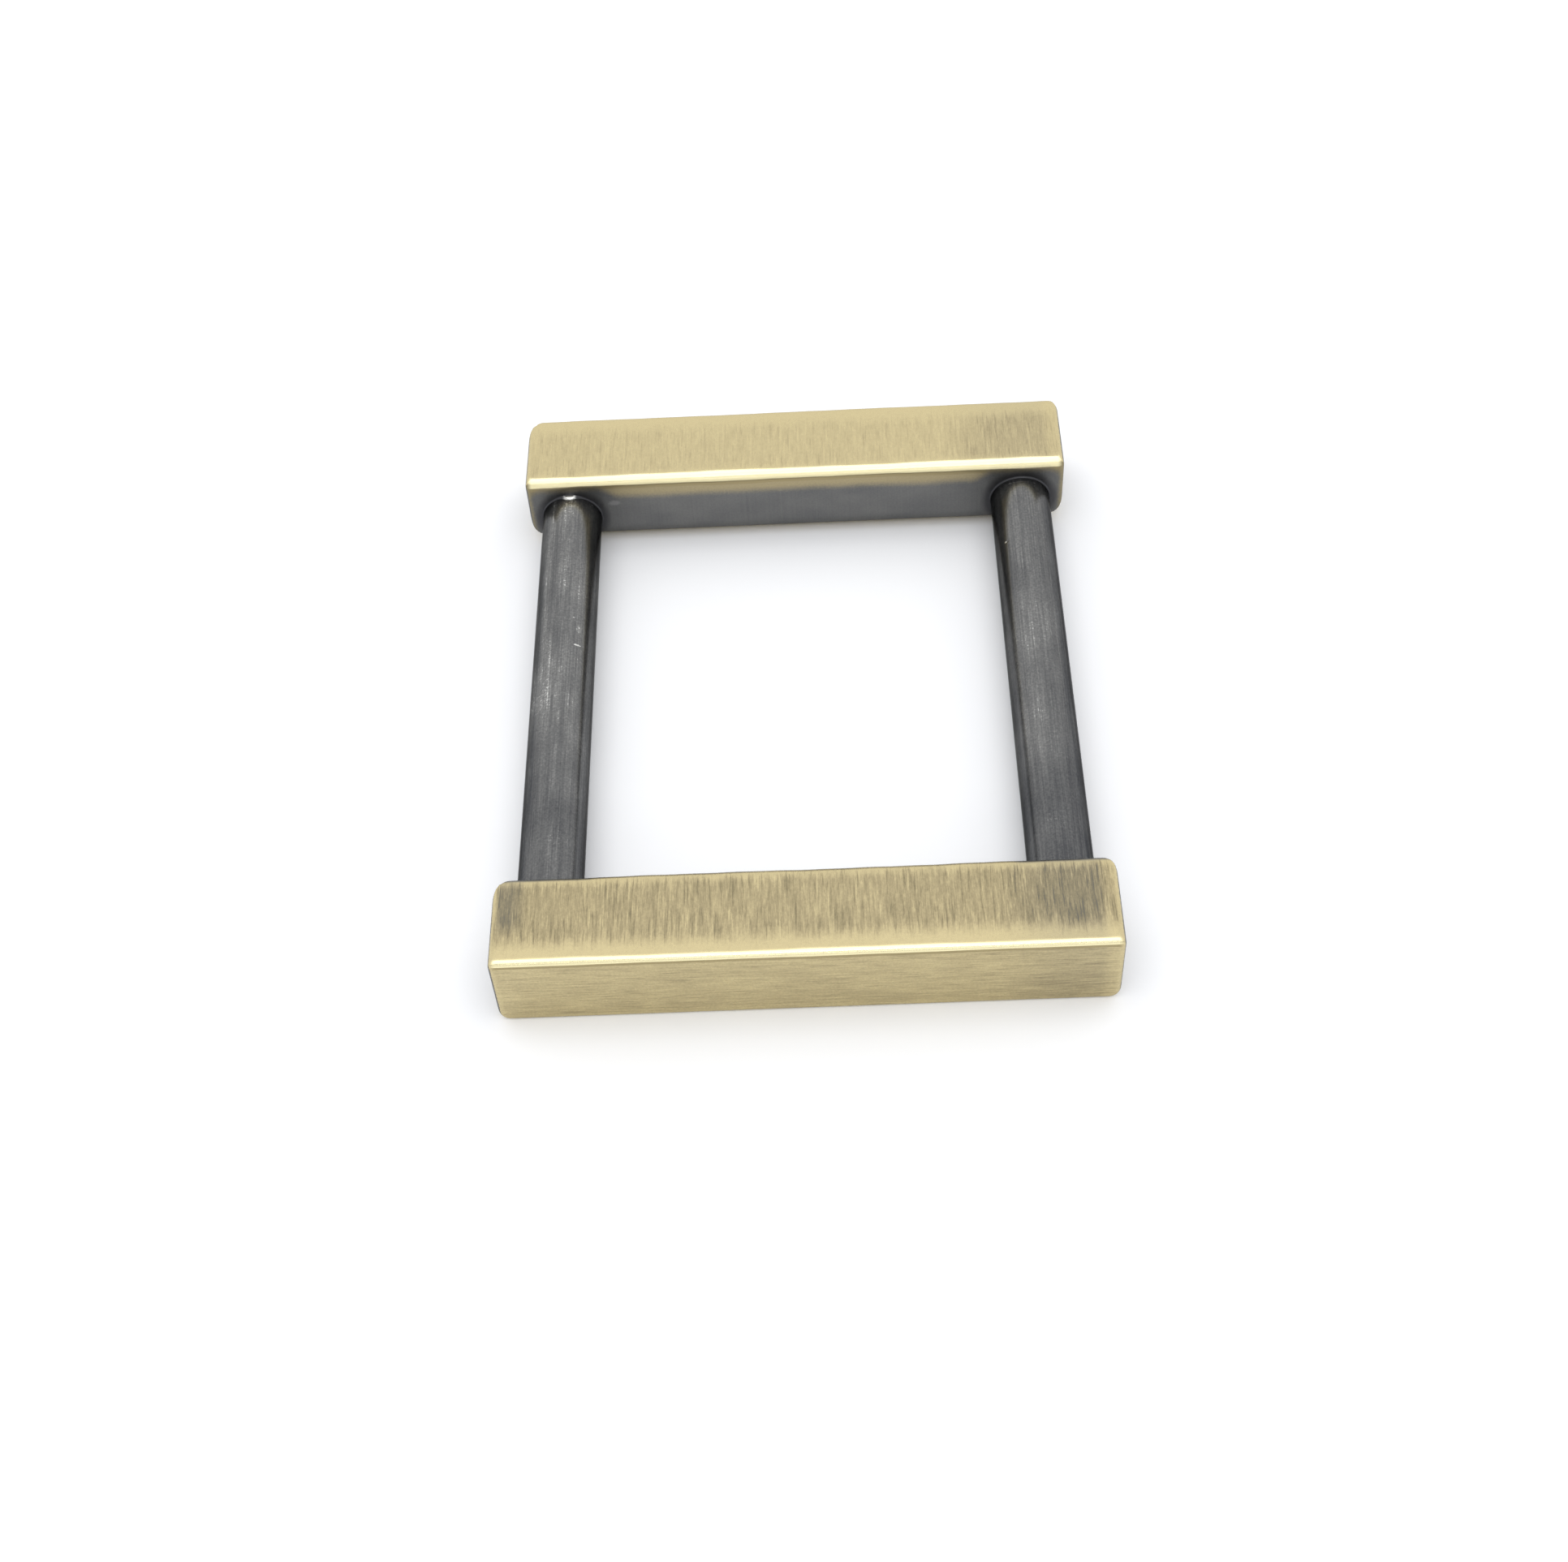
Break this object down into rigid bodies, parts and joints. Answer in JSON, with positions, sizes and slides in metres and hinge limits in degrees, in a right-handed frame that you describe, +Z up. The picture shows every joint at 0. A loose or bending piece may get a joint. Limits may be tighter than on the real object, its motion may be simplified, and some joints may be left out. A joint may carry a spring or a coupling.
{
  "type": "buckle slider",
  "caption": "Flat rectangular strap slider: thick antique brass bars joined by round gunmetal rods, open through the middle.",
  "frame": {"origin": "middle of the slider's footprint, on the surface that it lies flat on", "axes": "+X along the bars, +Y along the rods towards the far bar, +Z up"},
  "size_m": [0.03, 0.0374, 0.0047],
  "materials": {
    "antique_brass": "brushed antique brass, dark in the grain and rubbed bright at the edges",
    "gunmetal": "dark gunmetal plate with fine lengthwise scratches",
    "solder": "smooth plated solder, dark in the corner and lighter on its rim"
  },
  "bodies": {
    "root": {"far_bar": "antique_brass", "near_bar": "antique_brass", "left_rod": "gunmetal", "right_rod": "gunmetal", "far_left_solder": "solder", "far_right_solder": "solder", "near_left_solder": "solder", "near_right_solder": "solder"}
  },
  "joints": []
}
